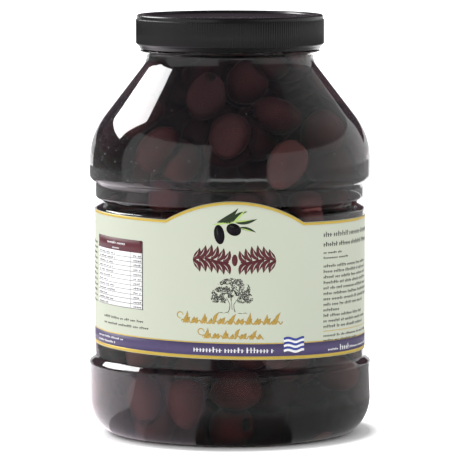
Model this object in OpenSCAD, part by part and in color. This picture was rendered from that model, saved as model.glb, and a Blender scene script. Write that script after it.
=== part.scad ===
// Wide-mouth clear plastic jar of pitted olives in brine.
// Four pieces: the blown jar, its ribbed screw lid, the wraparound paper label and the contents.
// Origin at the middle of the foot, +Z up, the arch of the label faces -Y. Millimetres.

/* [Body] */
// Outer diameter of the shoulder, the widest round of the jar
body_d = 138.6; // [116:0.2:168]
// How much smaller in radius the lower wall is than the shoulder
low_wall_inset = 0.2; // [0:0.1:2]
// Height of the straight lower wall
low_wall_h = 15.3; // [8:0.1:30]
// Thickness of the blown wall
wall = 0.8; // [0.5:0.1:1.5]
// Height of the straight part of the shoulder
shoulder_h = 7.1; // [3:0.1:20]
// Radius of the curve from the shoulder into the cone
shoulder_arc_r = 38; // [15:1:60]
// Lean of the cone under the neck, measured from the axis
cone_angle = 37.8; // [25:0.1:55]

/* [Foot] */
// Height of the rounded bottom corner
corner_h = 17.8; // [8:0.1:30]
// Width of the rounded bottom corner, seen from below
corner_w = 14; // [6:0.5:22]
// Width of the flat ring that the jar stands on
foot_ring_w = 5; // [3:0.5:9]
// Rise of the middle of the base above the table
push_up_h = 4; // [1:0.5:10]

/* [Label panel] */
// How far the panel lies inside the shoulder
panel_inset = 3; // [1.5:0.1:6]
// Height of the panel, from the lower bead to the groove
panel_h = 73; // [55:0.5:95]
// How far the bead under the panel stands out past the lower wall
low_bead_d = 0.4; // [0.1:0.1:1.5]
// Height of the bead's tapered foot, on the lower wall
low_bead_h = 2.4; // [1:0.1:5]
// Height of the bevel from the bead in to the panel
low_bevel_h = 2.6; // [1:0.1:6]
// Depth of the V groove over the panel
groove_depth = 4.8; // [1.5:0.1:8]
// Height of the V groove
groove_h = 5.2; // [3:0.1:9]
// Height of the plain band over the groove
band_h = 7; // [5.5:0.1:15]
// Height of the bevel from the band out to the shoulder
top_bevel_h = 2.5; // [1:0.1:6]

/* [Neck] */
// Outer diameter of the neck
neck_d = 82.2; // [70:0.2:98]
// Height of the neck, from the cone to the support bead
neck_h = 4; // [2:0.1:10]
// How far the support bead stands out from the neck
neck_bead_w = 3; // [1:0.1:5]
// Height of the slope under the support bead
neck_bead_h = 1.4; // [0.6:0.1:3]
// Thickness of the edge of the support bead
neck_bead_t = 0.5; // [0.3:0.1:1.5]
// How far the wall of the mouth, inside the lid, stands out from the neck
finish_step = 1.5; // [0.5:0.1:3]
// Height of the mouth, from the support bead to the rim
finish_h = 14.5; // [10:0.1:24]
// Chamfer on the rim of the mouth
rim_chamfer = 0.6; // [0.2:0.1:0.8]

/* [Lid] */
// Clearance between the lid and the mouth, in radius
lid_gap = 0.3; // [0.2:0.1:1]
// Thickness of the skirt, without the ribs
lid_wall = 2.7; // [2:0.1:4]
// Thickness of the top panel
lid_panel_t = 1.6; // [1:0.1:3]
// Depth of the top panel below the rim of the lid
lid_recess = 1.2; // [0.4:0.1:3]
// Width of the raised rim round the top panel
lid_rim_w = 4.5; // [2.5:0.1:10]
// Rounding of the top edge
lid_edge_r = 0.9; // [0.3:0.1:1.1]
// Clearance between the lid and the support bead
lid_lift = 0.5; // [0.2:0.1:1.5]
// Height of the smooth lip under the ribs
lip_h = 1.7; // [0.8:0.1:3]
// How far the lip lies inside the skirt
lip_inset = 0.7; // [0.2:0.1:1]
// Taper of the lip down to its edge
lip_taper = 1; // [0.2:0.1:1.2]
// Number of ribs round the skirt
rib_count = 227; // [90:1:260]
// How far the roots of the ribs stand out from the smooth bands over and under them
rib_seat = 0.1; // [0.05:0.05:0.4]
// Depth of a rib
rib_depth = 0.4; // [0.2:0.05:0.8]
// Height of the smooth band over the ribs
rib_top_gap = 2; // [1.5:0.1:5]

/* [Label] */
// Thickness of the paper
label_t = 0.2; // [0.1:0.05:0.4]
// Bare panel under the label
label_low_gap = 5.4; // [2:0.1:12]
// Bare panel over the straight top edge of the label
label_top_gap = 1.8; // [1:0.1:12]
// Width of the arch at the front, across its chord
arch_w = 66; // [40:0.5:78]
// Rise of the arch over the straight top edge
arch_rise = 10.1; // [4:0.1:14]
// Gap between the two ends of the label at the back
label_seam = 4; // [1:0.5:20]
// How far the label is wound askew: its +X side stands this much lower than its middle
label_skew = 1.5; // [0:0.1:1.6]

/* [Contents] */
// Air between the brine and the rim of the mouth
headspace = 3; // [2:0.5:3.5]

/* [Hidden] */
$fn = 180;
arc_steps = 12;
overlap = 0.3;

body_r = body_d / 2;
low_r = body_r - low_wall_inset;
foot_r = low_r - corner_w;
panel_r = body_r - panel_inset;
neck_r = neck_d / 2;
finish_r = neck_r + finish_step;

low_z = corner_h + low_wall_h;
bead_z = low_z + low_bead_h;
panel_z = bead_z + low_bevel_h;
groove_z = panel_z + panel_h;
band_z = groove_z + groove_h;
bevel_z = band_z + band_h;
shoulder_z = bevel_z + top_bevel_h;
arc_z = shoulder_z + shoulder_h;
cone_r = body_r - shoulder_arc_r * (1 - cos(cone_angle));
cone_z = arc_z + shoulder_arc_r * sin(cone_angle);
neck_z = cone_z + (cone_r - neck_r) / tan(cone_angle);
neck_bead_z = neck_z + neck_h + neck_bead_h;
finish_z = neck_bead_z + neck_bead_t;
mouth_z = finish_z + finish_h;
level_z = mouth_z - headspace;

lid_bore_r = finish_r + lid_gap;
lid_r = lid_bore_r + lid_wall;
lid_z = finish_z + lid_lift;
lid_top_z = mouth_z + lid_panel_t + lid_recess;
rib_low_z = lid_z + lip_h + lip_inset;
rib_high_z = lid_top_z - rib_top_gap;

label_z = panel_z + label_low_gap;
label_h = panel_h - label_low_gap - label_top_gap;
arch_r = (pow(arch_w / 2, 2) + pow(arch_rise, 2)) / (2 * arch_rise);

// Points on part of an ellipse about (r, z), from angle a to angle b.
function arc(r, z, half_w, half_h, a, b) =
    [for (i = [0:arc_steps])
        let (t = a + (b - a) * i / arc_steps) [r + half_w * cos(t), z + half_h * sin(t)]];

function reverse(points) = [for (i = [len(points) - 1:-1:0]) points[i]];

// The push-up of the base: level at the axis and level again where it meets the foot ring.
function base_line(t) =
    [for (i = [0:arc_steps])
        [(foot_r - foot_ring_w) * i / arc_steps, t + push_up_h * (1 + cos(180 * i / arc_steps)) / 2]];

// The body's outline at depth t in its wall, from the middle of the base up to the neck.
function wall_line(t) = concat(
    base_line(t),
    arc(foot_r, corner_h, corner_w - t, corner_h - t, -90, 0),
    [
        [low_r - t, low_z],
        [low_r + low_bead_d - t, bead_z],
        [panel_r - t, panel_z],
        [panel_r - t, groove_z],
        [panel_r - groove_depth - t, groove_z + groove_h / 2],
        [panel_r - t, band_z],
        [panel_r - t, bevel_z],
        [body_r - t, shoulder_z]
    ],
    arc(body_r - shoulder_arc_r, arc_z, shoulder_arc_r - t, shoulder_arc_r - t, 0, cone_angle),
    [[neck_r - t, neck_z - t * tan(cone_angle / 2)]]
);

// The outside of the neck, the support bead and the mouth, up to the rim.
function mouth_line() = [
    [neck_r, neck_z + neck_h],
    [neck_r + neck_bead_w, neck_bead_z],
    [neck_r + neck_bead_w, finish_z],
    [finish_r, finish_z],
    [finish_r, mouth_z - rim_chamfer],
    [finish_r - rim_chamfer, mouth_z],
    [neck_r - wall, mouth_z]
];

module jar() {
    color([0.86, 0.88, 0.88, 0.35])
        rotate_extrude()
            polygon(concat(wall_line(0), mouth_line(), reverse(wall_line(wall))));
}

module lid_shell() {
    rotate_extrude()
        polygon(concat(
            [
                [0, mouth_z],
                [lid_bore_r, mouth_z],
                [lid_bore_r, lid_z],
                [lid_r - lip_inset - lip_taper, lid_z],
                [lid_r - lip_inset, lid_z + lip_h],
                [lid_r, rib_low_z]
            ],
            arc(lid_r - lid_edge_r, lid_top_z - lid_edge_r, lid_edge_r, lid_edge_r, 0, 90),
            [
                [lid_r - lid_rim_w, lid_top_z],
                [lid_r - lid_rim_w - lid_recess, lid_top_z - lid_recess],
                [0, lid_top_z - lid_recess]
            ]
        ));
}

// The ribs as one fluted ring that reaches a little into the skirt.
module lid_ribs() {
    rib_angle = 360 / rib_count;
    root_r = lid_r + rib_seat;
    translate([0, 0, rib_low_z])
        linear_extrude(height = rib_high_z - rib_low_z)
            difference() {
                polygon([for (i = [0:rib_count - 1], side = [0, 1])
                    let (r = root_r + side * rib_depth, a = (i + side / 2) * rib_angle)
                        [r * cos(a), r * sin(a)]]);
                circle(r = lid_r - overlap);
            }
}

module lid() {
    color([0.13, 0.13, 0.13])
        union() {
            lid_shell();
            lid_ribs();
        }
}

// The label's outline seen from the front: a straight band all round, and the arch on the front half.
module label_outline() {
    reach = body_d;
    translate([-reach, -reach, 0])
        cube([2 * reach, 2 * reach, label_h]);
    translate([0, 0, label_h + arch_rise - arch_r])
        rotate([90, 0, 0])
            cylinder(r = arch_r, h = reach);
}

module label() {
    spare_h = 2 * label_skew + overlap;
    full_h = label_h + arch_rise + 2 * spare_h;
    color([0.86, 0.89, 0.8])
        difference() {
            intersection() {
                translate([0, 0, label_z - spare_h])
                    difference() {
                        cylinder(r = panel_r + label_t, h = full_h);
                        translate([0, 0, -overlap])
                            cylinder(r = panel_r, h = full_h + 2 * overlap);
                    }
                translate([0, 0, label_z])
                    rotate([0, atan(label_skew / panel_r), 0])
                        label_outline();
            }
            translate([-label_seam / 2, 0, label_z - spare_h])
                cube([label_seam, body_d, full_h]);
        }
}

module brine() {
    color([0.2, 0.12, 0.13])
        rotate_extrude()
            polygon(concat(wall_line(wall), [[neck_r - wall, level_z], [0, level_z]]));
}

jar();
lid();
label();
brine();
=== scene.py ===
import random
from math import acos, asin, atan2, ceil, cos, degrees, exp, hypot, pi, radians, sin, sqrt, tan

import bmesh
import bpy
import numpy as np
from mathutils import Matrix, Vector, noise


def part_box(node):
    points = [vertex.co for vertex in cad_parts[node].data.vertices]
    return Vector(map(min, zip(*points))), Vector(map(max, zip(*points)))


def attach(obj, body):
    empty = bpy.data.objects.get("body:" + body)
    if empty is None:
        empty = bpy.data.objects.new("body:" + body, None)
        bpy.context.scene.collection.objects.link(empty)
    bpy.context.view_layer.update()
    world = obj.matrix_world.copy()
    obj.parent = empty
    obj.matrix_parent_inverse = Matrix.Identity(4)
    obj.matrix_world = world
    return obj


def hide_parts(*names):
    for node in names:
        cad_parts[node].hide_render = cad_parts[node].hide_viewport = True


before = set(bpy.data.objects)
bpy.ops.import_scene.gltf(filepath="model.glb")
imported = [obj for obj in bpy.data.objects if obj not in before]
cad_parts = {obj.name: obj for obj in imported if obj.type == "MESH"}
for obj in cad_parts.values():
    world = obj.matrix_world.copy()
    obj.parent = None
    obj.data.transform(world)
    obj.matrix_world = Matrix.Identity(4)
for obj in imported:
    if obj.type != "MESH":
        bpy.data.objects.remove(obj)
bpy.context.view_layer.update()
mm = 0.001
random.seed(7)  # for the uneven strokes of the print
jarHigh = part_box("jar")[1]
lidLow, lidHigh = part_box("lid")
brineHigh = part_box("brine")[1]
print("frame loaded")


class Wire:
    # A shader output that can be used in plain arithmetic.
    def __init__(self, finish, socket):
        self.finish = finish
        self.socket = socket

    def maths(self, operation, first, second):
        return self.finish.node("ShaderNodeMath", {"operation": operation}, {0: first, 1: second})

    def __add__(self, other):
        return self.maths("ADD", self, other)

    def __radd__(self, other):
        return self.maths("ADD", other, self)

    def __sub__(self, other):
        return self.maths("SUBTRACT", self, other)

    def __rsub__(self, other):
        return self.maths("SUBTRACT", other, self)

    def __mul__(self, other):
        return self.maths("MULTIPLY", self, other)

    def __rmul__(self, other):
        return self.maths("MULTIPLY", other, self)


class Finish:
    # A material in the making, and the few kinds of node that it needs.
    def __init__(self, name):
        self.material = bpy.data.materials.new(name)
        self.material.use_nodes = True
        self.tree = self.material.node_tree
        self.tree.nodes.clear()
        self.output = self.tree.nodes.new("ShaderNodeOutputMaterial")

    def node(self, kind, settings=None, values=None, output=0):
        made = self.tree.nodes.new(kind)
        for key, value in (settings or {}).items():
            if key == "stops":
                self.setStops(made.color_ramp, value)
            else:
                setattr(made, key, value)
        for key, value in (values or {}).items():
            if isinstance(value, Wire):
                self.tree.links.new(value.socket, made.inputs[key])
            else:
                made.inputs[key].default_value = value
        return Wire(self, made.outputs[output])

    def setStops(self, ramp, stops):
        while len(ramp.elements) < len(stops):
            ramp.elements.new(0.5)
        for element, (place, colour) in zip(ramp.elements, stops):
            element.position, element.color = place, colour

    def place(self):
        return self.node("ShaderNodeTexCoord", output="Object")

    def attribute(self, name):
        return self.node("ShaderNodeAttribute", {"attribute_name": name}, output="Fac")

    def noise(self, scale, detail=3.0, roughness=0.5):
        values = {"Vector": self.place(), "Scale": scale, "Detail": detail, "Roughness": roughness}
        return self.node("ShaderNodeTexNoise", {}, values)

    def mix(self, mask, first, second):
        # Sockets 6 and 7 take the two colours, and output 2 gives their mix.
        return self.node("ShaderNodeMix", {"data_type": "RGBA"}, {0: mask, 6: first, 7: second}, 2)

    def ramp(self, value, stops):
        return self.node("ShaderNodeValToRGB", {"stops": stops}, {0: value})

    def bump(self, height, strength, distance):
        values = {"Height": height, "Strength": strength, "Distance": distance}
        return self.node("ShaderNodeBump", {}, values)

    def surface(self, **values):
        sockets = {spaced(key): value for key, value in values.items()}
        shader = self.node("ShaderNodeBsdfPrincipled", {}, sockets)
        self.tree.links.new(shader.socket, self.output.inputs["Surface"])
        return self.material

    def absorb(self, colour, density):
        volume = self.node("ShaderNodeVolumeAbsorption", {}, {"Color": colour, "Density": density})
        self.tree.links.new(volume.socket, self.output.inputs["Volume"])


def spaced(key):
    # The name of a socket from a keyword, so that baseColor finds Base Color.
    return "".join(" " + c if c.isupper() else c for c in key).title().replace("Ior", "IOR")


def rgb(red, green, blue):
    return (red, green, blue, 1.0)


def grey(level):
    return rgb(level, level, level)


def makePiece(name, bm, materials, replaced=()):
    mesh = bpy.data.meshes.new(name)
    bm.to_mesh(mesh)
    bm.free()
    for face in mesh.polygons:
        face.use_smooth = True
    piece = bpy.data.objects.new(name, mesh)
    bpy.context.scene.collection.objects.link(piece)
    for material in materials:
        mesh.materials.append(material)
    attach(piece, "root")
    if replaced:
        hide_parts(*replaced)
    print("made", name, len(mesh.polygons), "faces")
    return piece


def arcPoints(centre, halfWidth, halfHeight, start, end, steps):
    # Points on part of an ellipse, between two angles in degrees.
    turns = [radians(start + (end - start) * i / steps) for i in range(steps + 1)]
    across = [centre[0] + halfWidth * cos(t) for t in turns]
    up = [centre[1] + halfHeight * sin(t) for t in turns]
    return list(zip(across, up))


def link(bm, chain):
    for a, b in zip(chain, chain[1:]):
        bm.edges.new((a, b))


def wirePath(bm, points):
    verts = [bm.verts.new((r, 0.0, z)) for r, z in points]
    link(bm, verts)
    return verts


def roundCorners(bm, corners, size, segments=4):
    bmesh.ops.bevel(bm, geom=corners, offset=size, offset_type="OFFSET", segments=segments,
                    profile=0.5, affect="VERTICES", material=-1)


def spinRound(bm, steps):
    bmesh.ops.spin(bm, geom=bm.verts[:] + bm.edges[:], cent=(0, 0, 0), axis=(0, 0, 1),
                   dvec=(0, 0, 0), angle=2 * pi, steps=steps,
                   use_merge=True, use_duplicate=False)
    bmesh.ops.remove_doubles(bm, verts=bm.verts[:], dist=1e-6)
    bmesh.ops.dissolve_degenerate(bm, edges=bm.edges[:], dist=1e-7)
    bmesh.ops.recalc_face_normals(bm, faces=bm.faces[:])


jar = {
    "bodyRadius": 69.3 * mm,
    "wall": 0.8 * mm,
    "lowWallInset": 0.2 * mm,
    "lowWallHeight": 15.3 * mm,
    "cornerHeight": 17.8 * mm,
    "cornerWidth": 14 * mm,
    "footRing": 5 * mm,
    "pushUp": 4 * mm,
    "panelInset": 3 * mm,
    "panelHeight": 73 * mm,
    "beadStep": 0.4 * mm,
    "beadHeight": 2.4 * mm,
    "lowBevel": 2.6 * mm,
    "grooveDepth": 4.8 * mm,
    "grooveHeight": 5.2 * mm,
    "bandHeight": 7 * mm,
    "topBevel": 2.5 * mm,
    "shoulderHeight": 7.1 * mm,
    "shoulderArc": 38 * mm,
    "coneAngle": 37.8,
    "neckRadius": 41.1 * mm,
    "neckHeight": 4 * mm,
    "neckBead": 3 * mm,
    "neckBeadSlope": 1.4 * mm,
    "neckBeadEdge": 0.5 * mm,
    "finishStep": 1.5 * mm,
    "rimChamfer": 0.6 * mm,
    "edgeRound": 0.9 * mm,  # of the edges up to the band over the groove
    "ledgeRound": 1.6 * mm,  # of the two edges over that band
    "neckRound": 2.25 * mm,
    "beadRound": 0.22727 * mm,
    "beadFootRound": 0.27 * mm,
    "lowEdges": 6,  # how many edges lie up to the band
    "wetShare": 0.95,  # of the corner's curve, past which a face is the outer one
    "steps": 240,
    "baseSteps": 12,
    "cornerSteps": 20,
    "arcSteps": 16,
}
bodyRadius = jar["bodyRadius"]
lowRadius = bodyRadius - jar["lowWallInset"]
footRadius = lowRadius - jar["cornerWidth"]
panelRadius = bodyRadius - jar["panelInset"]
beadLowZ = jar["cornerHeight"] + jar["lowWallHeight"]
beadZ = beadLowZ + jar["beadHeight"]
panelZ = beadZ + jar["lowBevel"]
grooveZ = panelZ + jar["panelHeight"]
bandZ = grooveZ + jar["grooveHeight"]
bevelZ = bandZ + jar["bandHeight"]
shoulderZ = bevelZ + jar["topBevel"]
arcZ = shoulderZ + jar["shoulderHeight"]
lean = radians(jar["coneAngle"])
coneTopRadius = bodyRadius - jar["shoulderArc"] * (1 - cos(lean))
coneZ = arcZ + jar["shoulderArc"] * sin(lean)
neckZ = coneZ + (coneTopRadius - jar["neckRadius"]) / tan(lean)
neckTopZ = neckZ + jar["neckHeight"]
neckBeadZ = neckTopZ + jar["neckBeadSlope"]
mouthZ = jarHigh.z


def baseRise(share):
    # Height of the base at a share of the way from the axis to the foot ring.
    return jar["pushUp"] * (1 + cos(pi * share)) / 2


def wallLine(depth):
    # The outline at a depth in the wall, in five parts from the axis up to the neck.
    ringInner = footRadius - jar["footRing"]
    shares = [i / jar["baseSteps"] for i in range(jar["baseSteps"] + 1)]
    base = [(ringInner * share, depth + baseRise(share)) for share in shares]
    corner = arcPoints((footRadius, jar["cornerHeight"]), jar["cornerWidth"] - depth,
                       jar["cornerHeight"] - depth, -90, 0, jar["cornerSteps"])
    sharp = [
        (lowRadius - depth, beadLowZ),
        (lowRadius + jar["beadStep"] - depth, beadZ),
        (panelRadius - depth, panelZ),
        (panelRadius - depth, grooveZ),
        (panelRadius - jar["grooveDepth"] - depth, grooveZ + jar["grooveHeight"] / 2),
        (panelRadius - depth, bandZ),
        (panelRadius - depth, bevelZ),
        (bodyRadius - depth, shoulderZ),
    ]
    arcRadius = jar["shoulderArc"] - depth
    shoulder = arcPoints((bodyRadius - jar["shoulderArc"], arcZ), arcRadius, arcRadius,
                         0, jar["coneAngle"], jar["arcSteps"])
    neck = [(jar["neckRadius"] - depth, neckZ - depth * tan(lean / 2))]
    return base, corner, sharp, shoulder, neck


def wallPath(bm, depth):
    # The whole outline as one wire, its sharp corners and its corner at the neck.
    base, corner, sharp, shoulder, neck = wallLine(depth)
    verts = wirePath(bm, base + corner + sharp + shoulder + neck)
    first = len(base) + len(corner)
    return verts, verts[first:first + len(sharp)], verts[-1:]


def roundEdges(bm, *sides):
    low = jar["lowEdges"]
    roundCorners(bm, [vert for side in sides for vert in side[:low]], jar["edgeRound"], 4)
    roundCorners(bm, [vert for side in sides for vert in side[low:]], jar["ledgeRound"], 6)


def isWet(face):
    # Whether a face of the wall touches the brine.
    centre = face.calc_center_median()
    reach = hypot(centre.x, centre.y)
    if centre.z > jar["cornerHeight"]:
        facesIn = face.normal.x * centre.x + face.normal.y * centre.y < 0
        return facesIn and centre.z < brineHigh.z
    if reach > footRadius:
        out = (reach - footRadius) / jar["cornerWidth"]
        drop = (jar["cornerHeight"] - centre.z) / jar["cornerHeight"]
        return out ** 2 + drop ** 2 < jar["wetShare"]
    share = min(reach / (footRadius - jar["footRing"]), 1.0)
    return centre.z > jar["wall"] / 2 + baseRise(share)


def makeJar(outside, inside):
    bm = bmesh.new()
    outer, outerSharp, outerNeck = wallPath(bm, 0)
    inner, innerSharp, innerNeck = wallPath(bm, jar["wall"])
    finishRadius = jar["neckRadius"] + jar["finishStep"]
    beadRadius = jar["neckRadius"] + jar["neckBead"]
    mouth = wirePath(bm, [
        (jar["neckRadius"], neckTopZ),
        (beadRadius, neckBeadZ),
        (beadRadius, neckBeadZ + jar["neckBeadEdge"]),
        (finishRadius, neckBeadZ + jar["neckBeadEdge"]),
        (finishRadius, mouthZ - jar["rimChamfer"]),
        (finishRadius - jar["rimChamfer"], mouthZ),
        (jar["neckRadius"] - jar["wall"], mouthZ),
    ])
    link(bm, [outer[-1], mouth[0]])
    link(bm, [mouth[-1], inner[-1]])
    roundCorners(bm, outerNeck + innerNeck, jar["neckRound"], 6)
    roundCorners(bm, mouth[1:3], jar["beadRound"], 3)
    roundCorners(bm, mouth[:1], jar["beadFootRound"], 3)
    roundEdges(bm, outerSharp, innerSharp)
    spinRound(bm, jar["steps"])
    for face in bm.faces:
        face.material_index = int(isWet(face))
    return makePiece("jar_wall", bm, [outside, inside], ["jar"])


def clearPlastic(name, tint, smooth, rough):
    f = Finish(name)
    ripple = f.bump(f.noise(scale=22.0, detail=2.0), strength=0.08, distance=0.6 * mm)
    wear = f.noise(scale=160.0, detail=4.0, roughness=0.7)
    scuff = f.ramp(wear, [(0.45, grey(smooth)), (0.8, grey(rough))])
    return f.surface(baseColor=rgb(0.97, 0.975, 0.97), roughness=scuff, ior=1.57,
                     transmissionWeight=1.0, specularTint=grey(tint), normal=ripple)


brine = {
    "bite": 0.15 * mm,  # how far it reaches into the wall
    "colour": rgb(0.5, 0.1, 0.16),
    "density": 105.0,
}


def makeBrine(material):
    bm = bmesh.new()
    verts, sharp, neck = wallPath(bm, jar["wall"] - brine["bite"])
    rim = jar["neckRadius"] - jar["wall"] + brine["bite"]
    top = wirePath(bm, [(rim, brineHigh.z), (0.0, brineHigh.z)])
    link(bm, [verts[-1], top[0]])
    roundCorners(bm, neck, jar["neckRound"], 6)
    roundEdges(bm, sharp)
    spinRound(bm, jar["steps"])
    return makePiece("brine_fill", bm, [material], ["brine"])


def brineLiquid():
    f = Finish("dark brine")
    f.absorb(brine["colour"], brine["density"])
    return f.surface(baseColor=grey(1.0), roughness=0.0, ior=1.34, transmissionWeight=1.0,
                     specularTint=grey(0.1))


olive = {
    "count": 306,
    "shown": 160,  # how many lie against the wall
    "kinds": 6,
    "seed": 11,
    "radius": 9.3 * mm,
    "length": 25.0 * mm,
    "segments": 16,
    "shellSteps": 11,
    "hole": 2.7 * mm,
    "holeDepth": 7.0 * mm,
    "pocket": ((0.0, 1.0), (0.8, 0.9), (0.85, 0.3)),  # shares of the hole's radius and depth
    "lip": (0.93, 0.6 * mm),
    "holeMeets": 0.96,  # share of the hole's radius where the skin begins
    "tipAngle": -86,
    "tipFlat": 0.15 * mm,
    "bow": 0.7 * mm,
    "taper": 0.1,
    "tipTaper": 0.05,
    "unevenness": 0.35 * mm,
    "lumps": 110,
    "clearance": 0.2 * mm,
    "give": 1.3 * mm,  # over which what would pass the wall is pressed back
    "shade": 3.4 * mm,  # gap to a neighbour past which no painted shade darkens the skin
    "shadeReach": 3.4,  # how far off a neighbour still counts, in radii
}
ballRadii = np.array([0.75, 0.93, 1.0, 0.93, 0.75]) * olive["radius"]
ballArms = np.array([-5.6, -3.0, 0.0, 3.0, 5.6]) * mm
packing = {
    "rounds": 260,
    "renewal": 6,  # rounds between two searches for neighbours
    "tries": 6,  # places drawn for each that is kept
    "sizes": (0.92, 1.06),
    "foot": 10 * mm,
    "head": 9 * mm,
    "edgeGap": 10 * mm,
    "coreGap": 24 * mm,
    "flatness": 0.85,  # how far the shown ones are laid along the wall
    "reach": 3.2,  # of a neighbour, in radii
    "parting": 0.5,
    "wallPush": 1.5,
    "wallPull": 0.8,
    "topGap": 1 * mm,
    "move": 0.3,
    "stiffness": 1.6,
    "probes": np.linspace(-0.96, 0.96, 9),  # heights on a ball where the wall is tested
}
# The low olives are painted lighter, as for the light of the table, the top ones painted darker,
# as for the shade of the lid.
lightHeights = [40 * mm, 60 * mm, 135 * mm, 155 * mm]
lightLevels = [0.9, 0.4, 0.4, -0.3]


def oliveTemplate(seed):
    # A pitted olive that stands on its tip, with its hole at the top.
    bm = bmesh.new()
    pit = bm.verts.layers.float.new("pit")
    bm.verts.layers.float.new("tone")
    bm.verts.layers.float.new("open")
    half, radius, hole = olive["length"] / 2, olive["radius"], olive["hole"]
    start = degrees(acos(olive["holeMeets"] * hole / radius))
    shell = arcPoints((0.0, 0.0), radius, half, start, olive["tipAngle"], olive["shellSteps"])
    top = shell[0][1]
    pocket = [(out * hole, top - down * olive["holeDepth"]) for out, down in olive["pocket"]]
    pocket.append((olive["lip"][0] * hole, top - olive["lip"][1]))
    verts = wirePath(bm, pocket + shell + [(0.0, olive["tipFlat"] - half)])
    # The hole's inside is marked to be painted near-black, painted shade in the hole.
    for vert in verts[:len(pocket)]:
        vert[pit] = 1.0
    verts[len(pocket)][pit] = 0.4
    spinRound(bm, olive["segments"])
    bm.normal_update()
    shift = Vector((seed * 3.7, seed * 1.9, seed))  # so that no two kinds are uneven alike
    for vert in bm.verts:
        share = vert.co.z / half
        bow = olive["bow"] * (1 - share ** 2)
        taper = 1 + olive["taper"] * share - olive["tipTaper"] * max(0.0, -share) ** 3
        uneven = noise.noise(vert.co * olive["lumps"] + shift) * olive["unevenness"]
        shaped = Vector((vert.co.x * taper + bow, vert.co.y * taper, vert.co.z))
        vert.co = shaped + vert.normal * uneven
    mesh = bpy.data.meshes.new("olive template")
    bm.to_mesh(mesh)
    bm.free()
    return mesh


def innerRadius(clearance):
    # Heights and radii of the room for the olives, from the bottom up.
    base, corner, sharp, shoulder, neck = wallLine(jar["wall"] + clearance)
    rim = [(jar["neckRadius"] - jar["wall"] - clearance, mouthZ)]
    line = corner + sharp + shoulder + neck + rim
    return np.array([p[1] for p in line]), np.array([p[0] for p in line])


def startPlaces(rng, heights, radii):
    # The first ones start near the wall and along it, the others anywhere in the middle.
    count, shown = olive["count"], olive["shown"]
    drawn = count * packing["tries"]
    z = rng.uniform(packing["foot"], brineHigh.z - packing["head"], drawn)
    r = np.interp(z, heights, radii)
    keep = np.nonzero(rng.uniform(0, 1, drawn) < r / r.max())[0][:count]
    z, r = z[keep], r[keep]
    sizes = rng.uniform(*packing["sizes"], count)
    turn = rng.uniform(0, 2 * pi, count)
    out = r - packing["edgeGap"]
    out[shown:] = (r[shown:] - packing["coreGap"]) * np.sqrt(rng.uniform(0, 1, count - shown))
    centres = np.stack([out * np.cos(turn), out * np.sin(turn), z], 1)
    axes = rng.normal(size=(count, 3))
    radial = centres * np.array([1, 1, 0]) / np.maximum(out, 1 * mm)[:, None]
    outward = (axes[:shown] * radial[:shown]).sum(1)[:, None]
    axes[:shown] -= packing["flatness"] * outward * radial[:shown]
    axes /= np.linalg.norm(axes, axis=1)[:, None]
    return centres, axes, sizes


def wallRoom(balls, ballSize, heights, radii):
    # How far from the axis the middle of each ball may lie.
    room = np.full(len(balls), 1.0)
    for k in packing["probes"]:
        free = np.interp(balls[:, 2] + k * ballSize, heights, radii)
        room = np.minimum(room, free - ballSize * sqrt(1 - k * k))
    return room


def packOlives():
    # Each olive is five balls along its axis, pushed apart and off the walls until they settle.
    rng = np.random.default_rng(olive["seed"])
    heights, radii = innerRadius(2.5 * olive["clearance"])
    centres, axes, sizes = startPlaces(rng, heights, radii)
    count, shown = olive["count"], olive["shown"]
    each = len(ballArms)
    owner = np.repeat(np.arange(count), each)
    ballSize = (sizes[:, None] * ballRadii).ravel()
    arm = (sizes[:, None] * ballArms).ravel()
    ball = np.arange(each)
    middle = np.arange(shown) * each + each // 2
    for step in range(packing["rounds"]):
        if step % packing["renewal"] == 0:
            gaps = np.linalg.norm(centres[:, None] - centres[None], axis=2)
            near = np.triu(gaps < packing["reach"] * olive["radius"], 1)
            one, two = np.nonzero(near)
            first = (one[:, None, None] * each + ball[None, :, None] + 0 * ball).ravel()
            second = (two[:, None, None] * each + 0 * ball[None, :, None] + ball).ravel()
            reach = ballSize[first] + ballSize[second]
        balls = centres[owner] + axes[owner] * arm[:, None]
        gap = balls[first] - balls[second]
        far = np.linalg.norm(gap, axis=1) + 1e-9
        press = gap * (packing["parting"] * np.maximum(reach - far, 0) / far)[:, None]
        push = np.stack([np.bincount(first, press[:, k], len(balls))
                         - np.bincount(second, press[:, k], len(balls)) for k in range(3)], 1)
        side = np.hypot(balls[:, 0], balls[:, 1]) + 1e-9
        room = wallRoom(balls, ballSize, heights, radii)
        over = np.maximum(side - room, 0) * packing["wallPush"]
        over[middle] = (side - room)[middle] * packing["wallPull"]
        push[:, :2] -= balls[:, :2] * (over / side)[:, None]
        dome = (1 + np.cos(np.pi * np.minimum(side / footRadius, 1))) / 2
        low = jar["wall"] + jar["pushUp"] * dome + ballSize
        tooHigh = balls[:, 2] + ballSize - brineHigh.z + packing["topGap"]
        push[:, 2] += packing["wallPush"] * np.maximum(low - balls[:, 2], 0)
        push[:, 2] -= packing["wallPush"] * np.maximum(tooHigh, 0)
        centres += packing["move"] * push.reshape(count, each, 3).sum(1)
        swing = np.cross(axes[owner] * arm[:, None], push).reshape(count, each, 3).sum(1)
        axes += np.cross(swing / (packing["stiffness"] * olive["radius"] ** 2), axes)
        axes /= np.linalg.norm(axes, axis=1)[:, None]
    spins = rng.uniform(0, 2 * pi, count)
    # Each olive gets a random colour share, plus painted light by its height: lighter low down,
    # darker at the top.
    oliveMixAndPaintedLight = rng.uniform(0, 0.9, count) + np.interp(centres[:, 2], lightHeights, lightLevels)
    print("olives settled")
    return centres, axes, sizes, spins, oliveMixAndPaintedLight


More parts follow.
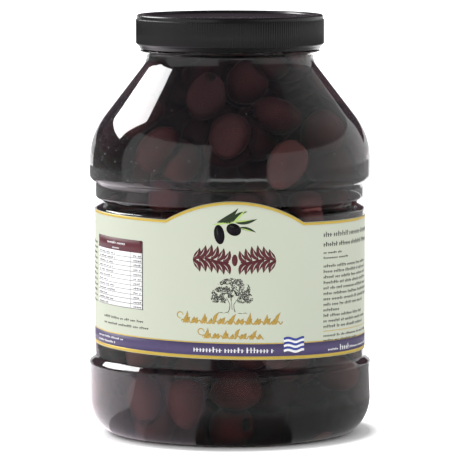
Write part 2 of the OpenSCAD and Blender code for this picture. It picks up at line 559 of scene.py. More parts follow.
def shadeOlives(bm, centres, axes, sizes):
    # Each point of the skin gets painted shade by how near it lies to its neighbours: darker where
    # olives touch.
    balls = centres[:, None] + axes[:, None] * ballArms[None, :, None] * sizes[:, None, None]
    reach = sizes[:, None] * ballRadii
    layer = bm.verts.layers.float["open"]
    points = np.array([vert.co for vert in bm.verts]).reshape(len(centres), -1, 3)
    clearOfPaintedShade = np.ones(points.shape[:2])
    for i, centre in enumerate(centres):
        near = np.linalg.norm(centres - centre, axis=1) < olive["shadeReach"] * olive["radius"]
        near[i] = False
        if near.any():
            away = points[i][:, None] - balls[near].reshape(1, -1, 3)
            gap = (np.linalg.norm(away, axis=2) - reach[near].ravel()).min(1)
            clearOfPaintedShade[i] = np.clip(gap / olive["shade"], 0, 1)
    for vert, value in zip(bm.verts, clearOfPaintedShade.ravel()):
        vert[layer] = value


def pressBack(bm):
    # What would pass the wall is pressed back softly.
    give, clearance = olive["give"], olive["clearance"]
    heights, radii = innerRadius(clearance)
    room = np.interp([vert.co.z for vert in bm.verts], heights, radii)
    for vert, limit in zip(bm.verts, room):
        reach = hypot(vert.co.x, vert.co.y)
        free = limit - give
        if reach > free:
            share = (limit - give * exp((free - reach) / give)) / reach
            vert.co.x, vert.co.y = vert.co.x * share, vert.co.y * share
        vert.co.z = min(max(vert.co.z, jar["wall"] + clearance), brineHigh.z - clearance)


def makeOlives(material):
    templates = [oliveTemplate(seed) for seed in range(olive["kinds"])]
    bm = bmesh.new()
    centres, axes, sizes, spins, oliveMixAndPaintedLight = packOlives()
    for i, (centre, axis) in enumerate(zip(centres, axes)):
        start = len(bm.verts)
        bm.from_mesh(templates[i % olive["kinds"]])
        fresh = bm.verts[start:]
        tone = bm.verts.layers.float["tone"]
        for vert in fresh:
            vert[tone] = oliveMixAndPaintedLight[i]
        tilt = Vector(axis).to_track_quat("Z", "Y").to_matrix().to_4x4()
        turn = tilt @ Matrix.Rotation(spins[i], 4, "Z")
        place = Matrix.Translation(Vector(centre)) @ turn @ Matrix.Scale(sizes[i], 4)
        bmesh.ops.transform(bm, matrix=place, verts=fresh)
    shadeOlives(bm, centres, axes, sizes)
    pressBack(bm)
    for mesh in templates:
        bpy.data.meshes.remove(mesh)
    return makePiece("olives", bm, [material])


def oliveSkin():
    f = Finish("pitted olive skin")
    blotch = f.noise(scale=90.0, detail=4.0, roughness=0.6)
    # This share holds each olive's own random colour and its painted light by height.
    mixed = f.attribute("tone") * 0.3 + blotch * 0.6 + 0.05
    skin = f.ramp(mixed, [(0.2, rgb(0.052, 0.021, 0.024)), (0.5, rgb(0.086, 0.033, 0.035)),
                          (0.85, rgb(0.18, 0.06, 0.057))])
    # The near-black of painted shade, in the hole and between touching olives.
    dark = rgb(0.018, 0.011, 0.011)
    # Painted shade: the skin is mixed towards near-black where it lies close to a neighbour.
    colour = f.mix(f.attribute("pit"), f.mix(1 - f.attribute("open"), skin, dark), dark)
    grain = f.noise(scale=420.0, detail=5.0, roughness=0.6)
    return f.surface(baseColor=colour, roughness=0.38 + blotch * 0.15, ior=1.06,
                     normal=f.bump(grain, strength=0.35, distance=0.6 * mm))


bubble = {
    "count": 170,
    "seed": 5,
    "smallest": 0.13 * mm,
    "largest": 0.45 * mm,
    "low": 127 * mm,
    "high": 168 * mm,
    "bearing": -64,  # the middle of the cluster, in degrees from the front
    "scatter": 15,
    "stray": 4,  # every fourth one lies anywhere round the jar
}


def makeBubbles(material):
    # Fine air bubbles cling to the inside of the shoulder, mostly towards -X.
    rng = np.random.default_rng(bubble["seed"])
    heights, radii = innerRadius(0.0)
    bm = bmesh.new()
    for i in range(bubble["count"]):
        size = bubble["smallest"] + (bubble["largest"] - bubble["smallest"]) * rng.random() ** 3
        height = rng.uniform(bubble["low"], bubble["high"])
        if i % bubble["stray"]:
            turn = radians(rng.normal(bubble["bearing"], bubble["scatter"]))
        else:
            turn = radians(rng.uniform(-180, 180))
        out = np.interp(height, heights, radii) - 1.25 * size
        place = Matrix.Translation((out * sin(turn), -out * cos(turn), height))
        bmesh.ops.create_icosphere(bm, subdivisions=1, radius=size, matrix=place)
    return makePiece("air_bubbles", bm, [material])


def paintedBubbleLight():
    f = Finish("bubble painted light")
    # Air has no colour of its own: the greys paint the light the bubbles catch, a painted
    # reflection with a mottled painted glint.
    paintedGlint = f.noise(scale=2000.0, detail=2.0)
    colour = f.mix(paintedGlint, rgb(0.4, 0.38, 0.4), rgb(0.62, 0.6, 0.62))
    return f.surface(baseColor=colour, roughness=0.25)


lid = {
    "wall": 2.7 * mm,
    "gap": 0.3 * mm,
    "recess": 1.2 * mm,
    "rim": 4.5 * mm,
    "edge": 0.9 * mm,
    "lipHeight": 1.7 * mm,
    "lipInset": 0.7 * mm,
    "lipTaper": 1.0 * mm,
    "ribs": 227,
    "ribSeat": 0.1 * mm,
    "ribDepth": 0.4 * mm,
    "ribTopGap": 2 * mm,
    "ribEase": 0.25 * mm,
    "ribFade": 0.5 * mm,
    "lipRound": 0.35 * mm,
    "panelRound": 0.6 * mm,
}


def makeLid(material):
    bm = bmesh.new()
    bore = jar["neckRadius"] + jar["finishStep"] + lid["gap"]
    radius = bore + lid["wall"]
    top = lidHigh.z
    low = lidLow.z
    ribLow = low + lid["lipHeight"] + lid["lipInset"]
    ribHigh = top - lid["ribTopGap"]
    lip = radius - lid["lipInset"]
    ribHeights = [ribLow, ribLow + lid["ribEase"], ribLow + lid["ribFade"],
                  (ribLow + ribHigh) / 2, ribHigh - lid["ribFade"],
                  ribHigh - lid["ribEase"], ribHigh]
    outside = [(0.0, mouthZ), (bore, mouthZ), (bore, low), (lip - lid["lipTaper"], low),
               (lip, low + lid["lipHeight"])] + [(radius, z) for z in ribHeights]
    inner = radius - lid["rim"]
    crown = [(radius, top), (inner, top), (inner - lid["recess"], top - lid["recess"]),
             (0.0, top - lid["recess"])]
    verts = wirePath(bm, outside + crown)
    roundCorners(bm, verts[3:5], lid["lipRound"], 3)
    crownVerts = verts[len(outside):]
    roundCorners(bm, crownVerts[:1], lid["edge"], 5)
    roundCorners(bm, crownVerts[1:3], lid["panelRound"], 4)
    spinRound(bm, 4 * lid["ribs"])
    # The ribs rise as a wave round the skirt, and fade out at both ends.
    for vert in bm.verts:
        reach = hypot(vert.co.x, vert.co.y)
        inside = min(vert.co.z - ribLow, ribHigh - vert.co.z) / lid["ribFade"]
        if reach > radius - 0.01 * mm and inside > 0.0:
            turn = atan2(vert.co.y, vert.co.x)
            rise = lid["ribSeat"] + lid["ribDepth"] * (0.5 + 0.5 * cos(lid["ribs"] * turn))
            scale = (reach + rise * min(inside, 1.0)) / reach
            vert.co.x, vert.co.y = vert.co.x * scale, vert.co.y * scale
    return makePiece("screw_lid", bm, [material], ["lid"])


def lidPlastic():
    f = Finish("black moulded plastic")
    grain = f.noise(scale=900.0, detail=3.0, roughness=0.6)
    haze = f.noise(scale=35.0)
    return f.surface(baseColor=f.mix(haze, grey(0.004), grey(0.006)), roughness=0.21 + haze * 0.11,
                     ior=1.48, normal=f.bump(grain, strength=0.12, distance=0.2 * mm))


label = {
    "paper": 0.2 * mm,
    "lowGap": 5.4 * mm,
    "topGap": 1.8 * mm,
    "archWidth": 66 * mm,
    "archRise": 10.1 * mm,
    "seam": 4 * mm,
    "skew": 1.5 * mm,  # how much lower its +X side stands than its middle
    "column": 2 * mm,
    "rows": 24,
}
labelRadius = panelRadius + label["paper"]
labelZ = panelZ + label["lowGap"]
edgeZ = grooveZ - label["topGap"]
halfLength = pi * labelRadius - label["seam"] / 2
archRadius = ((label["archWidth"] / 2) ** 2 + label["archRise"] ** 2) / (2 * label["archRise"])
archHalf = labelRadius * asin(label["archWidth"] / 2 / labelRadius)


def topEdge(s):
    # Height of the label's top edge at a distance along it from its middle.
    if abs(s) >= archHalf:
        return edgeZ
    across = labelRadius * sin(s / labelRadius)
    return edgeZ + label["archRise"] - archRadius + sqrt(archRadius ** 2 - across ** 2)


def wrap(bm):
    # Bends what was made on the flat, along X and up Z, round the jar.
    for vert in bm.verts:
        s, height, z = vert.co
        radius = labelRadius + height
        across = sin(s / labelRadius)
        vert.co = (radius * across, -radius * cos(s / labelRadius), z - label["skew"] * across)


def spread(first, last, step):
    count = max(1, ceil((last - first) / step))
    return [first + (last - first) * i / count for i in range(count + 1)]


def makeLabel(material):
    bm = bmesh.new()
    places = spread(-halfLength, -archHalf, label["column"])
    places += spread(-archHalf, archHalf, label["column"])[1:]
    places += spread(archHalf, halfLength, label["column"])[1:]
    base = [bm.verts.new((s, 0.0, labelZ)) for s in places]
    link(bm, base)
    rise = bm.edges[:]
    for row in range(1, label["rows"] + 1):
        made = bmesh.ops.extrude_edge_only(bm, edges=rise)["geom"]
        rise = [g for g in made if isinstance(g, bmesh.types.BMEdge)]
        fresh = {v for g in rise for v in g.verts}
        for vert in fresh:
            vert.co.z = labelZ + (topEdge(vert.co.x) - labelZ) * row / label["rows"]
    bmesh.ops.recalc_face_normals(bm, faces=bm.faces[:])
    wrap(bm)
    bmesh.ops.recalc_face_normals(bm, faces=bm.faces[:])
    if sum(face.normal.dot(face.calc_center_median()) for face in bm.faces) < 0:
        bmesh.ops.reverse_faces(bm, faces=bm.faces[:])
    bmesh.ops.solidify(bm, geom=bm.faces[:], thickness=label["paper"])
    return makePiece("paper_label", bm, [material], ["label"])


paperColours = ((0.394, 0.422, 0.338), (0.421, 0.448, 0.366))


def labelPaper():
    f = Finish("coated label paper")
    fibre = f.noise(scale=700.0, detail=4.0, roughness=0.65)
    cloud = f.noise(scale=25.0, detail=2.0)
    colour = f.mix(cloud, rgb(*paperColours[0]), rgb(*paperColours[1]))
    return f.surface(baseColor=colour, roughness=0.42 + fibre * 0.12, ior=1.45,
                     normal=f.bump(fibre, strength=0.12, distance=0.2 * mm))


# The print is drawn on the flat label as (along, up) in millimetres, one mesh for each ink.
ink = {
    "sink": 0.05 * mm,  # into the paper; the other three are heights over it
    "field": 0.02 * mm,
    "drawing": 0.04 * mm,
    "detail": 0.06 * mm,
}
prints = {}


def inkMesh(name):
    if name not in prints:
        prints[name] = bmesh.new()
    return prints[name]


def plate(name, outline, high):
    # A closed prism from a convex outline.
    bm = inkMesh(name)
    low = [bm.verts.new((s * mm, -ink["sink"], z * mm)) for s, z in outline]
    top = [bm.verts.new((s * mm, high, z * mm)) for s, z in outline]
    bm.faces.new(low)
    bm.faces.new(top[::-1])
    for i in range(len(low)):
        j = (i + 1) % len(low)
        bm.faces.new((low[j], low[i], top[i], top[j]))


def ribbon(name, path, widths, high=ink["drawing"]):
    # A closed strip along a path, with a width at each point.
    bm = inkMesh(name)
    rings = []
    for i, (s, z) in enumerate(path):
        back, ahead = path[max(i - 1, 0)], path[min(i + 1, len(path) - 1)]
        way = Vector((ahead[0] - back[0], ahead[1] - back[1])).normalized() * widths[i] / 2
        left, right = (s - way.y, z + way.x), (s + way.y, z - way.x)
        corners = ((left, high), (right, high), (right, -ink["sink"]), (left, -ink["sink"]))
        rings.append([bm.verts.new((p[0] * mm, height, p[1] * mm)) for p, height in corners])
    for ring, following in zip(rings, rings[1:]):
        for i in range(4):
            j = (i + 1) % 4
            bm.faces.new((ring[i], ring[j], following[j], following[i]))
    bm.faces.new(rings[0][::-1])
    bm.faces.new(rings[-1])


def blob(name, centre, width, height, turn, sides, high=ink["drawing"]):
    # An oval, turned about its centre.
    outline = []
    for i in range(sides):
        t = 2 * pi * i / sides
        x, y = cos(t) * width / 2, sin(t) * height / 2
        outline.append((centre[0] + x * cos(turn) - y * sin(turn),
                        centre[1] + x * sin(turn) + y * cos(turn)))
    plate(name, outline, high)


leafShape = {
    "steps": 8,
    "belly": 0.85,  # under 1, a leaf is widest past its middle
    "thinnest": 0.12,
}


def leaf(name, start, end, width, bend=0.0, high=ink["drawing"]):
    # A pointed leaf from start to end, bent sideways by a share of its length.
    path, widths = [], []
    across = Vector((start[1] - end[1], end[0] - start[0]))
    for i in range(leafShape["steps"] + 1):
        t = i / leafShape["steps"]
        bow = bend * 4 * t * (1 - t)
        path.append((start[0] + (end[0] - start[0]) * t + across.x * bow,
                     start[1] + (end[1] - start[1]) * t + across.y * bow))
        swell = sin(pi * t ** leafShape["belly"])
        widths.append(max(width * swell, leafShape["thinnest"]))
    ribbon(name, path, widths, high)


def band(name, first, last, low, high, top=ink["drawing"], step=2.0):
    # A field that bends with the jar, between two heights.
    path = [(s, (low + high) / 2) for s in spread(first, last, step)]
    ribbon(name, path, [high - low] * len(path), top)


strokes = {
    "letters": (2, 9),  # in a word
    "heights": (0.7, 0.7, 0.7, 1.0),
    "widths": (0.34, 0.46),
    "growth": 0.35,  # how much wider the strokes of tall rows are
    "bar": 0.25,
    "barReach": 2.2,
    "advance": 2.6,
    "wordGap": 0.9,
}


def greekRow(name, first, last, z, height, top=ink["drawing"]):
    # A row of short strokes that stands for a line of print.
    s = first
    while s < last:
        for letter in range(random.randint(*strokes["letters"])):
            tall = height * random.choice(strokes["heights"])
            wide = random.uniform(*strokes["widths"]) * (1 + strokes["growth"] * (height - 1))
            if s + wide > last:
                break
            low, end = z + tall / 2, s + strokes["barReach"] * wide
            high = low + strokes["bar"]
            plate(name, [(s, z), (s + wide, z), (s + wide, z + tall), (s, z + tall)], top)
            plate(name, [(s, low), (end, low), (end, high), (s, high)], top)
            s += strokes["advance"] * wide
        s += strokes["wordGap"]


border = {
    "margin": 0.4,
    "drop": 0.85,
    "width": 1.3,
    "sideSteps": 90,
    "archSteps": 32,  # on either side of the middle
    "bands": (("gold", 0.15, 1.65), ("plum", 1.7, 7.6), ("gold", 7.65, 8.15)),
}


def drawEdges():
    # Gold along the top and the arch, and round the plum band.
    edge = halfLength / mm - border["margin"]
    arch = archHalf / mm
    side, steps = border["sideSteps"], border["archSteps"]
    places = [-edge + i * (edge - arch) / side for i in range(side)]
    places += [-arch + i * arch / steps for i in range(2 * steps + 1)]
    places += [arch + (i + 1) * (edge - arch) / side for i in range(side)]
    path = [(s, topEdge(s * mm) / mm - border["drop"]) for s in places]
    ribbon("gold", path, [border["width"]] * len(path), ink["field"])
    foot = labelZ / mm
    for name, low, high in border["bands"]:
        band(name, -edge, edge, foot + low, foot + high, ink["field"])


sprig = {
    "leaves": (  # start, end, width and bend
        ((-8.9, 109.2), (1.2, 116.2), 2.5, -0.1),
        ((-6.0, 109.4), (0.6, 112.2), 1.9, -0.12),
        ((-2.6, 109.8), (5.6, 114.6), 1.9, 0.08),
        ((0.0, 109.2), (10.3, 111.1), 1.9, -0.06),
        ((1.5, 106.8), (9.7, 104.8), 1.7, 0.06),
    ),
    "lights": (
        ((-1.0, 109.3), (4.9, 115.4), 1.1),
        ((-2.6, 109.4), (7.6, 110.6), 0.7),
        ((2.6, 106.6), (8.0, 105.2), 0.5),
    ),
    "twig": ((-11.0, 107.9), (-1.0, 109.0), 0.8, 0.03),
    "fruit": (((-7.8, 103.4), 5.0, 9.4, 0.14), ((-0.9, 105.9), 7.2, 5.8, -0.35)),
    "gleams": (((-8.7, 104.8), 0.6, 3.8, 0.12), ((-1.8, 107.4), 2.6, 0.6, -0.3)),
}


def drawSprig():
    for start, end, width, bend in sprig["leaves"]:
        leaf("leaf", start, end, width, bend)
    for light in sprig["lights"]:
        leaf("stem", *light, high=ink["detail"])
    leaf("stem", *sprig["twig"])
    for fruit in sprig["fruit"]:
        blob("night", *fruit, 20)
    for gleam in sprig["gleams"]:
        blob("leaf", *gleam, 10, ink["detail"])


garland = {
    "centre": (-0.4, 91.0),
    "half": 20.2,
    "pitch": 2.9,
    "joints": 7,
    "wave": 0.9,
    "leafReach": 6.7,
    "leafFall": 0.16,  # how the leaves get shorter towards both ends of a branch
    "leafLean": 3.4,
    "leafWidth": 3.0,
    "veinStart": (0.6, 1.2),
    "veinLean": 2.7,
    "veinReach": 0.8,
    "veinWidth": 0.36,
    "bend": 0.12,
    "knot": (2.8, 5.6),
}


def drawGarland():
    # Two branches of leaves meet in the middle, where the name would be.
    g = garland
    across, up = g["centre"]
    for way in (-1, 1):
        stem = [(way * (g["half"] - g["pitch"] * i) + across, up + g["wave"] * sin(i * 0.9))
                for i in range(g["joints"])]
        ribbon("wine", stem, [0.5 + 0.06 * i for i in range(g["joints"])])
        for i, (s, z) in enumerate(stem[:-1]):
            for side in (-1, 1):
                reach = g["leafReach"] - g["leafFall"] * (i - 2.5) ** 2
                bend = g["bend"] * way * side
                end = (s - way * g["leafLean"], z + side * reach)
                leaf("wine", (s, z), end, g["leafWidth"], bend)
                root = (s - way * g["veinStart"][0], z + side * g["veinStart"][1])
                vein = (s - way * g["veinLean"], z + side * reach * g["veinReach"])
                leaf("ground", root, vein, g["veinWidth"], bend, ink["detail"])
    blob("wine", (across, up + 0.2), *g["knot"], 0.0, 18)


tree = {
    "limbs": (  # a path and its width at the foot
        (((-3.5, 66.4), (-2.9, 67.8), (-2.7, 70.0), (-4.4, 73.4)), 0.4),
        (((-0.2, 66.4), (-0.7, 67.8), (-0.9, 70.0), (1.6, 73.8)), 0.4),
        (((-1.7, 67.6), (-1.9, 70.6), (-2.6, 73.6)), 0.26),
        (((-2.2, 71.6), (-1.4, 74.6)), 0.3),
    ),
    "grass": ((-8.0, 0.1), (-5.4, 0.25), (1.0, -0.25), (3.4, 0.0)),
    "grassFoot": 65.8,
    "draws": 2600,
    "crownLow": 70.8,
    "crownHigh": 82.6,
    "crownHalf": 10.2,
    "crownMiddle": -1.6,
    "widestAt": 72.0,
    "clump": 0.55,
    "sparse": -0.22,  # where the clumps are thinner than this, the sky shows
    "forkTop": 73.2,
    "forkHalf": 2.6,
}


def drawTree():
    for path, width in tree["limbs"]:
        widths = [width * (1 - 0.5 * i / (len(path) - 1)) for i in range(len(path))]
        ribbon("grey", path, widths)
    foot = tree["grassFoot"]
    for s, turn in tree["grass"]:
        blade = [(s, foot), (s + 1.2, foot + 0.3 + turn), (s + 2.2, foot - 0.1)]
        ribbon("grey", blade, [0.12, 0.3, 0.12])
    for i in range(tree["draws"]):
        z = random.uniform(tree["crownLow"], tree["crownHigh"])
        s = random.uniform(-tree["crownHalf"], tree["crownHalf"])
        over = max(z - tree["widestAt"], 0.0) / 10.8
        under = max(0.0, tree["widestAt"] - z)
        roof = 10.0 * sqrt(max(0.0, 1 - over ** 1.8)) - 1.4 * under
        patch = noise.noise(Vector((s * tree["clump"], z * tree["clump"], 3.0)))
        edge = noise.noise(Vector((s * 0.3, z * 0.3, 9.0)))
        inFork = z < tree["forkTop"] and abs(s + 0.3) < tree["forkHalf"]
        if abs(s) > roof + 1.6 * edge or patch < tree["sparse"] or inFork:
            continue
        width, height = random.uniform(0.35, 0.7), random.uniform(0.22, 0.45)
        blob("grey", (s + tree["crownMiddle"], z), width, height, s + z, 5)


scroll = {
    "lines": ((-26.4, 23.0, 60.4, 5.8), (-16.0, 13.6, 53.4, 5.0)),  # first, last, foot, height
    "heights": (1.0, 0.52, 0.58, 0.5, 0.86, 0.54, 0.5),
    "advances": (2.5, 1.9, 2.1),
    "bends": (-0.12, 0.12),
    "slant": 0.42,
    "width": 1.75,
    "stemWidth": 0.6,
    "stemLift": 0.9,
    "stemWave": 0.75,
    "curl": 1.5,
}


def drawScroll(first, last, z, height):
    # A wavy gold stem with slanted strokes of uneven height, thick in the middle.
    waves = range(round((last - first) * 2) + 1)
    lift, wave = scroll["stemLift"], scroll["stemWave"]
    stem = [(first + i / 2, z + lift + wave * sin(i * 1.15)) for i in waves]
    ribbon("script", stem, [scroll["stemWidth"]] * len(stem))
    s, i = first + 0.6, 0
    while s < last - 2:
        tall = height * scroll["heights"][i % 7]
        end = (s + scroll["slant"] * tall, z + tall)
        leaf("script", (s, z), end, scroll["width"], scroll["bends"][i % 2])
        s += scroll["advances"][i % 3]
        i += 1
    radius, middle = scroll["curl"], (first - 0.6, z + height * 0.62)
    curl = [(middle[0] + radius * cos(t * 0.5), middle[1] + radius * sin(t * 0.5))
            for t in range(11)]
    ribbon("script", curl, [0.3 + 0.06 * min(t, 10 - t) for t in range(11)])


pennant = {
    "start": (23.8, 53.4),
    "stripes": 6,
    "points": 12,
    "pitch": 1.15,
    "width": 1.18,
    "wave": 0.5,
    "layer": 0.002 * mm,  # each stripe lies this much over the one before
}


def drawPennant():
    # Wavy blue and white stripes.
    s, z = pennant["start"]
    for i in range(pennant["stripes"]):
        path = [(s + j, z - pennant["pitch"] * i + pennant["wave"] * sin(j * 0.75))
                for j in range(pennant["points"])]
        name = "blue" if i % 2 == 0 else "white"
        ribbon(name, path, [pennant["width"]] * len(path), ink["detail"] + i * pennant["layer"])


table = {
    "first": -88.0,
    "last": -48.2,
    "low": 64.8,
    "head": 92.0,
    "rows": 12,
    "topRow": 89.4,
    "pitch": 2.24,
    "line": 0.22,
}


def drawTable():
    # The plain table on the left side, the rows beside it and the rows under it.
    first, last = table["first"], table["last"]
    band("white", first, last, table["low"], 96.6, ink["field"])
    band("wine", first, last, table["head"], 98.0)
    greekRow("white", -76.0, -60.0, 94.9, 1.4, ink["detail"])
    greekRow("white", -71.0, -64.0, 92.7, 0.9, ink["detail"])
    for i in range(table["rows"]):
        z = table["topRow"] - table["pitch"] * i
        band("grey", first, last, z, z + table["line"])
        greekRow("grey", -86.5, random.uniform(-78, -66), z + 0.5, 1.0)
        greekRow("grey", -54.0, -49.2, z + 0.5, 1.0)
    band("grey", -48.4, -47.9, 64.6, 97.6, step=1.0)
    band("grey", -56.4, -56.2, table["low"], table["head"], step=1.0)
    for i in range(12):
        greekRow("grey", -108.0, -91.0, 93.0 - 2.6 * i, 1.2)
    greekRow("grey", -80.0, -48.0, 58.4, 1.3)
    greekRow("grey", -80.0, -44.6, 55.4, 1.3)


rows = {
    "start": 46.8,
    "heads": (("grey", 98.0, 101.6, 2.5), ("black", 96.0, 97.0, 2.2),  # end, foot and height
              ("black", 60.0, 93.4, 1.2), ("grey", 66.0, 90.9, 1.2)),
    "count": 12,
    "shortOne": 8,
    "top": 86.8,
    "pitch": 2.66,
    "height": 1.6,
    "feet": ((92.0, 53.2), (76.0, 50.9)),
    "onPlum": ((-20.3, 18.1, 46.8, 2.6), (-88.0, -62.0, 48.5, 1.1), (-88.0, -68.0, 46.3, 1.1),
               (50.0, 58.0, 46.4, 1.2), (59.0, 67.0, 46.1, 2.8), (68.0, 92.0, 46.4, 1.2)),
}


def drawRows():
    # The text on the right side, and the white rows on the plum band.
    start = rows["start"]
    for name, last, foot, height in rows["heads"]:
        greekRow(name, start, last, foot, height)
    for i in range(rows["count"]):
        last = 58.0 if i == rows["shortOne"] else random.uniform(82.0, 97.0)
        greekRow("grey", start, last, rows["top"] - rows["pitch"] * i, rows["height"])
    band("gold", start, 98.0, 55.9, 56.2)
    for last, foot in rows["feet"]:
        greekRow("grey", start, last, foot, 1.3)
    for row in rows["onPlum"]:
        greekRow("white", *row)


matt = (0.4, 0.0)
inks = {  # two shades of each, then how rough and how metallic it is
    "gold": ((0.44, 0.31, 0.05), (0.53, 0.38, 0.08), 0.35, 0.25),
    "script": ((0.33, 0.21, 0.045), (0.42, 0.28, 0.07), 0.4, 0.1),
    "plum": ((0.058, 0.045, 0.105), (0.072, 0.056, 0.13), *matt),
    "wine": ((0.075, 0.016, 0.022), (0.10, 0.022, 0.03), *matt),
    "leaf": ((0.016, 0.028, 0.014), (0.032, 0.048, 0.022), *matt),
    "stem": ((0.28, 0.42, 0.10), (0.38, 0.52, 0.16), *matt),
    "night": ((0.004, 0.003, 0.005), (0.01, 0.006, 0.012), *matt),
    "grey": ((0.04, 0.04, 0.038), (0.07, 0.07, 0.064), *matt),
    "black": ((0.016, 0.016, 0.016), (0.03, 0.03, 0.028), *matt),
    "blue": ((0.03, 0.045, 0.22), (0.045, 0.06, 0.27), *matt),
    "white": ((0.62, 0.62, 0.63), (0.68, 0.68, 0.69), *matt),
    "ground": (*paperColours, *matt),
}


def inkFinish(name):
    first, second, roughness, metallic = inks[name]
    f = Finish(name + " ink")
    speck = f.noise(scale=300.0, detail=4.0, roughness=0.6)
    colour = f.mix(speck, rgb(*first), rgb(*second))
    return f.surface(baseColor=colour, roughness=roughness + speck * 0.1, metallic=metallic,
                     specularIorLevel=0.2)


def makePrint():
    drawEdges()
    drawSprig()
    drawGarland()
    drawTree()
    for line in scroll["lines"]:
        drawScroll(*line)
    drawPennant()
    drawTable()
    drawRows()
    for name, bm in prints.items():
        wrap(bm)
        bmesh.ops.recalc_face_normals(bm, faces=bm.faces[:])
        makePiece("print_" + name, bm, [inkFinish(name)])


studio = {
    "sky": 1.0,
    "floorSize": 6.0,
    "floorGlow": 0.75,
    "glowStart": 0.345,  # the floor's own light begins outside the jar, at a fifth of this; under the jar the floor stays unlit, a painted shadow
    "glowEnd": 0.38,
    "distance": 2.016,
    "height": 0.296,
    "aim": 0.0993,
    "turn": -2.3,  # degrees round the jar
    "lens": 322.1,
}
# Each lamp: its place, the height it is aimed at, its size, its power and whether it is mirrored.
lamps = {
    "left fill": ((-1.3, -1.5, 0.9), 0.1, (1.0, 1.0), 6.5, False),
    "key softbox": ((-1.0, 0.92, 1.06), 0.12, (1.08, 0.74), 28.0, True),
}
# The cards stand or lie round the jar between two bearings, counted from the front towards +X.
# They are seen in reflections only. Each panel: bearings, radius, heights, and its light at
# the front end and the back end.
panels = {
    "left_panel": (-98, -18, 1.0, 0.0, 0.82, 0.36, 0.38),
    "right_panel": (27, 143, 1.0, 0.0, 0.52, 0.26, 0.5),
    "right_high": (34, 143, 1.02, 0.5, 1.5, 0.01, 0.22),
}
# Each part of the table top: bearings, inner and outer radius, light and tint.
neutral = (1.0, 1.0, 1.0)
tableTop = 1.2 * mm
tables = {
    "front_table": (-18, 27, 0.03, 0.11, 0.04, neutral),
    "front_far": (-18, 27, 0.11, 0.2, 0.22, neutral),
    "front_low": (-18, 27, 0.2, 0.95, 0.17, neutral),
    "left_table": (-75, -45, 0.03, 0.95, 0.8, (1.0, 0.88, 0.98)),
    "left_front": (-45, -18, 0.03, 0.95, 0.5, (1.0, 0.9, 0.98)),
    "bright_table": (-165, -75, 0.03, 0.36, 1.9, (1.0, 0.92, 0.98)),
    "dusk_table": (-165, -75, 0.36, 0.44, 0.8, (1.0, 0.9, 0.98)),
    "dim_table": (-165, -75, 0.44, 0.62, 0.25, neutral),
    "side_table": (-98, -75, 0.62, 1.65, 0.9, neutral),
    "back_table": (-165, -98, 0.62, 1.65, 0.4, neutral),
    "right_near": (27, 143, 0.03, 0.15, 0.3, neutral),
    "right_table": (27, 143, 0.15, 0.95, 0.42, neutral),
}


def whiteFloor():
    f = Finish("white sweep")
    cloud = f.noise(scale=3.0, detail=2.0)
    away = f.node("ShaderNodeVectorMath", {"operation": "LENGTH"}, {0: f.place()}, "Value")
    # The floor glows only outside the jar; under it the floor stays unlit, a painted shadow under
    # the jar.
    glow = f.ramp(away * 5.0, [(studio["glowStart"], grey(0.0)), (studio["glowEnd"], grey(1.0))])
    return f.surface(baseColor=f.mix(cloud, grey(0.93), grey(0.95)), roughness=0.8,
                     emissionColor=glow, emissionStrength=studio["floorGlow"])


def cardFinish(name, glow, tint=neutral):
    f = Finish(name)
    return f.surface(baseColor=grey(0.0), roughness=1.0, specularIorLevel=0.0,
                     emissionColor=rgb(*tint), emissionStrength=glow)


def panelFinish(name, first, last):
    # A panel whose light changes from its front end to its back end.
    f = Finish(name)
    depth = f.node("ShaderNodeSeparateXYZ", {}, {0: f.place()}, 1)
    light = f.ramp(depth * 0.6 + 0.55, [(0.0, grey(first)), (1.0, grey(last))])
    return f.surface(baseColor=grey(0.0), roughness=1.0, specularIorLevel=0.0,
                     emissionColor=light, emissionStrength=2.0)


def standing(name, bm, material):
    mesh = bpy.data.meshes.new(name)
    bm.to_mesh(mesh)
    bm.free()
    card = bpy.data.objects.new(name, mesh)
    mesh.materials.append(material)
    bpy.context.scene.collection.objects.link(card)
    return card


def ringCard(name, first, last, edges, material):
    # A strip round the jar between two edges, each a radius and a height.
    bm = bmesh.new()
    steps = max(2, ceil((last - first) / 6))
    turns = [radians(first + (last - first) * i / steps) for i in range(steps + 1)]
    near, far = [[bm.verts.new((r * sin(t), -r * cos(t), z)) for t in turns]
                 for r, z in edges]
    for i in range(steps):
        bm.faces.new((near[i], near[i + 1], far[i + 1], far[i]))
    card = standing(name, bm, material)
    for ray in ("camera", "diffuse", "transmission", "shadow", "volume_scatter"):
        setattr(card, "visible_" + ray, False)


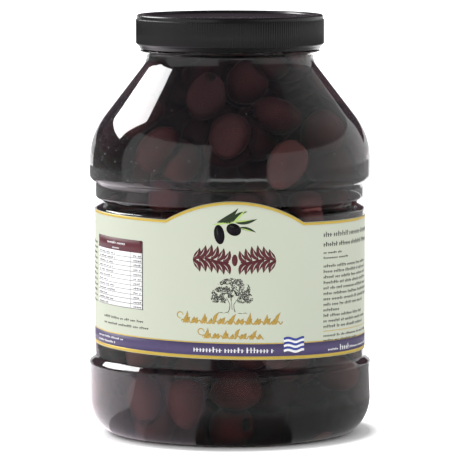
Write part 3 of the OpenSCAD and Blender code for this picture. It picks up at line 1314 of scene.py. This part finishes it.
def makeCards():
    dark = cardFinish("dark card", 0.09, (1.0, 0.76, 0.96))
    ringCard("front_gap", -18, 27, ((1.2, 0.0), (1.2, 2.4)), dark)
    for name, (first, last, radius, low, high, front, back) in panels.items():
        finish = panelFinish(name.replace("_", " "), front, back)
        ringCard(name, first, last, ((radius, low), (radius, high)), finish)
    ringCard("right_low", 27, 150, ((0.98, 0.0), (0.98, 0.09)), cardFinish("right low", 0.6))
    ringCard("left_gap", -150, -98, ((1.65, 0.0), (1.65, 0.3)), cardFinish("left gap", 0.12))
    ringCard("upper_wall", -180, 180, ((1.7, 0.26), (1.7, 2.4)), dark)
    ringCard("roof", -180, 180, ((0.0, 2.4), (1.8, 2.4)), dark)
    for name, (first, last, inner, outer, glow, tint) in tables.items():
        finish = cardFinish(name.replace("_", " "), glow, tint)
        ringCard(name, first, last, ((inner, tableTop), (outer, tableTop)), finish)


def aimed(thing, height):
    # Turns a lamp or a camera to a point on the jar's axis.
    way = Vector((0, 0, height)) - thing.location
    thing.rotation_euler = way.to_track_quat("-Z", "Y").to_euler()
    bpy.context.scene.collection.objects.link(thing)


def makeStudio():
    scene = bpy.context.scene
    world = bpy.data.worlds.new("white studio")
    world.use_nodes = True
    background = world.node_tree.nodes["Background"]
    background.inputs["Color"].default_value = grey(1.0)
    background.inputs["Strength"].default_value = studio["sky"]
    scene.world = world
    bm = bmesh.new()
    bmesh.ops.create_grid(bm, x_segments=1, y_segments=1, size=studio["floorSize"])
    standing("floor", bm, whiteFloor())
    makeCards()
    for name, (place, aim, size, power, mirrored) in lamps.items():
        light = bpy.data.lights.new(name, "AREA")
        light.shape, light.energy = "RECTANGLE", power
        light.size, light.size_y = size
        lamp = bpy.data.objects.new(name, light)
        lamp.location = place
        lamp.visible_camera = False
        lamp.visible_glossy = mirrored
        aimed(lamp, aim)
    camera = bpy.data.objects.new("camera", bpy.data.cameras.new("camera"))
    camera.data.lens = studio["lens"]
    camera.data.sensor_width = 36.0
    camera.data.clip_end = 50.0
    turn, distance = radians(studio["turn"]), studio["distance"]
    camera.location = (distance * sin(turn), -distance * cos(turn), studio["height"])
    aimed(camera, studio["aim"])
    scene.camera = camera
    scene.view_settings.view_transform = "Standard"
    print("studio made")


makeStudio()
# The wet side mirrors little, because plastic against liquid hardly does.
makeJar(clearPlastic("clear blown plastic", tint=1.0, smooth=0.012, rough=0.04),
        clearPlastic("wet side of the wall", tint=0.1, smooth=0.12, rough=0.18))
makeBrine(brineLiquid())
makeOlives(oliveSkin())
makeBubbles(paintedBubbleLight())
makeLid(lidPlastic())
makeLabel(labelPaper())
makePrint()
